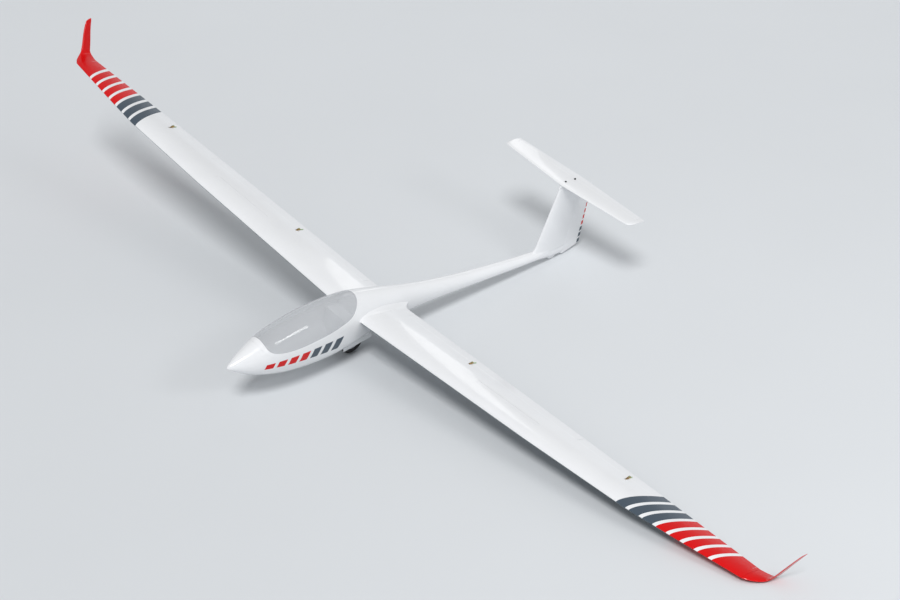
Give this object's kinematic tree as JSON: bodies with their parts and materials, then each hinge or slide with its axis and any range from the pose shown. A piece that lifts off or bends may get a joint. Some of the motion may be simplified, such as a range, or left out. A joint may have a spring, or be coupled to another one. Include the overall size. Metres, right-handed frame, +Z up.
{
  "type": "radio controlled model sailplane",
  "caption": "Quarter scale T-tail model sailplane with winglets, hinged flaps, ailerons, elevator and rudder, airbrakes and lift-off canopy, parked on wheel, skid and left tip.",
  "frame": {"origin": "middle of the footprint box, on the ground", "axes": "+X aft, +Y to the right wing, +Z up; the nose points to -X and the left wing is down"},
  "size_m": [1.7308, 3.7766, 0.6446],
  "materials": {
    "white_gelcoat": "white polyester gelcoat over glass fibre, polished",
    "red_gelcoat": "red two-pack paint over glass fibre, polished",
    "smoked_acrylic": "light smoke tinted clear canopy, polished",
    "slate_abs": "vacuum formed cover, satin",
    "glass_laminate": "pale green glass fibre laminate, sawn",
    "brass_fitting": "machined clevis and threaded rod",
    "turned_aluminium": "machined",
    "black_steel": "black oxide",
    "wheel_tyre": "moulded rubber"
  },
  "bodies": {
    "root": {"fuselage": "white_gelcoat", "tail_skid": "white_gelcoat", "tailplane": "white_gelcoat", "tailplane_bolt_front": "black_steel", "tailplane_bolt_rear": "black_steel", "axle": "black_steel", "gear_leg": "turned_aluminium", "wing_panel_left": "white_gelcoat", "winglet_left": "red_gelcoat", "flap_servo_cover_left": "slate_abs", "airbrake_servo_cover_left": "slate_abs", "aileron_servo_cover_left": "slate_abs", "wing_panel_right": "white_gelcoat", "winglet_right": "red_gelcoat", "flap_servo_cover_right": "slate_abs", "airbrake_servo_cover_right": "slate_abs", "aileron_servo_cover_right": "slate_abs"},
    "canopy": {"canopy_frame": "white_gelcoat", "canopy_glass": "smoked_acrylic"},
    "rudder": {"rudder": "white_gelcoat"},
    "elevator": {"elevator": "white_gelcoat"},
    "main_wheel": {"tyre": "wheel_tyre", "wheel_hub": "turned_aluminium"},
    "gear_door_left": {"gear_door_left": "white_gelcoat"},
    "gear_door_right": {"gear_door_right": "white_gelcoat"},
    "flap_left": {"flap_left": "white_gelcoat", "flap_horn_left": "glass_laminate"},
    "aileron_left": {"aileron_left": "white_gelcoat", "aileron_horn_left": "glass_laminate"},
    "flap_pushrod_left": {"flap_pushrod_left": "brass_fitting"},
    "aileron_pushrod_left": {"aileron_pushrod_left": "brass_fitting"},
    "airbrake_upper_left": {"airbrake_upper_blade_left": "white_gelcoat"},
    "airbrake_lower_left": {"airbrake_lower_blade_left": "turned_aluminium"},
    "flap_right": {"flap_right": "white_gelcoat", "flap_horn_right": "glass_laminate"},
    "aileron_right": {"aileron_right": "white_gelcoat", "aileron_horn_right": "glass_laminate"},
    "flap_pushrod_right": {"flap_pushrod_right": "brass_fitting"},
    "aileron_pushrod_right": {"aileron_pushrod_right": "brass_fitting"},
    "airbrake_upper_right": {"airbrake_upper_blade_right": "white_gelcoat"},
    "airbrake_lower_right": {"airbrake_lower_blade_right": "turned_aluminium"}
  },
  "joints": [
    {"name": "flap_hinge_left", "type": "hinge", "parent": "root", "child": "flap_left", "pos_m": [-0.17508, -0.53087, 0.11428], "axis": [0.029, 0.9961, 0.0827], "range_deg": [-8, 45]},
    {"name": "flap_hinge_right", "type": "hinge", "parent": "root", "child": "flap_right", "pos_m": [-0.17508, 0.58269, 0.27201], "axis": [-0.029, 0.9799, 0.1972], "range_deg": [-8, 45]},
    {"name": "aileron_hinge_left", "type": "hinge", "parent": "root", "child": "aileron_left", "pos_m": [-0.19445, -1.35756, 0.04412], "axis": [0.017, 0.9961, 0.0866], "range_deg": [-25, 15]},
    {"name": "aileron_hinge_right", "type": "hinge", "parent": "root", "child": "aileron_right", "pos_m": [-0.19445, 1.39636, 0.43419], "axis": [-0.017, 0.981, 0.1935], "range_deg": [-25, 15]},
    {"name": "elevator_hinge", "type": "hinge", "parent": "root", "child": "elevator", "pos_m": [0.77162, 0.00662, 0.32937], "axis": [0, 0.9901, 0.1402], "range_deg": [-20, 20]},
    {"name": "rudder_hinge", "type": "hinge", "parent": "root", "child": "rudder", "pos_m": [0.77489, 0.03128, 0.15524], "axis": [0.2029, -0.1373, 0.9695], "range_deg": [-30, 30]},
    {"name": "main_wheel_spin", "type": "hinge", "parent": "root", "child": "main_wheel", "pos_m": [-0.31002, 0.04654, 0.04751], "axis": [0, 0.9901, 0.1402], "continuous": true},
    {"name": "canopy_lift", "type": "slide", "parent": "root", "child": "canopy", "axis": [0.0685, -0.1399, 0.9878], "range_m": [0, 0.15]},
    {"name": "gear_door_hinge_left", "type": "hinge", "parent": "root", "child": "gear_door_left", "pos_m": [-0.30699, 0.01588, 0.07292], "axis": [-0.9903, 0.0195, -0.1376], "range_deg": [0, 25]},
    {"name": "gear_door_hinge_right", "type": "hinge", "parent": "root", "child": "gear_door_right", "pos_m": [-0.30699, 0.06895, 0.08044], "axis": [0.9903, -0.0195, 0.1376], "range_deg": [0, 25]},
    {"name": "airbrake_upper_slide_left", "type": "slide", "parent": "root", "child": "airbrake_upper_left", "axis": [0.1702, -0.1382, 0.9757], "range_m": [0, 0.026]},
    {"name": "airbrake_lower_slide_left", "type": "slide", "parent": "root", "child": "airbrake_lower_left", "axis": [0.1702, -0.1382, 0.9757], "range_m": [0, 0.013]},
    {"name": "flap_pushrod_slide_left", "type": "slide", "parent": "root", "child": "flap_pushrod_left", "axis": [0.9854, 0.0239, -0.1685], "range_m": [-0.0025, 0.0105]},
    {"name": "aileron_pushrod_slide_left", "type": "slide", "parent": "root", "child": "aileron_pushrod_left", "axis": [0.9854, 0.0239, -0.1685], "range_m": [-0.0055, 0.0035]},
    {"name": "airbrake_upper_slide_right", "type": "slide", "parent": "root", "child": "airbrake_upper_right", "axis": [0.1702, -0.1382, 0.9757], "range_m": [0, 0.026]},
    {"name": "airbrake_lower_slide_right", "type": "slide", "parent": "root", "child": "airbrake_lower_right", "axis": [0.1702, -0.1382, 0.9757], "range_m": [0, 0.013]},
    {"name": "flap_pushrod_slide_right", "type": "slide", "parent": "root", "child": "flap_pushrod_right", "axis": [0.9854, 0.0239, -0.1685], "range_m": [-0.0025, 0.0105]},
    {"name": "aileron_pushrod_slide_right", "type": "slide", "parent": "root", "child": "aileron_pushrod_right", "axis": [0.9854, 0.0239, -0.1685], "range_m": [-0.0055, 0.0035]}
  ],
  "couplings": [
    {"joint": "airbrake_lower_slide_left", "follows": "airbrake_upper_slide_left", "ratio": 0.5},
    {"joint": "flap_pushrod_slide_left", "follows": "flap_hinge_left", "m_per_rad": 0.0127},
    {"joint": "aileron_pushrod_slide_left", "follows": "aileron_hinge_left", "m_per_rad": 0.01117},
    {"joint": "airbrake_lower_slide_right", "follows": "airbrake_upper_slide_right", "ratio": 0.5},
    {"joint": "flap_pushrod_slide_right", "follows": "flap_hinge_right", "m_per_rad": 0.0127},
    {"joint": "aileron_pushrod_slide_right", "follows": "aileron_hinge_right", "m_per_rad": 0.01117}
  ]
}
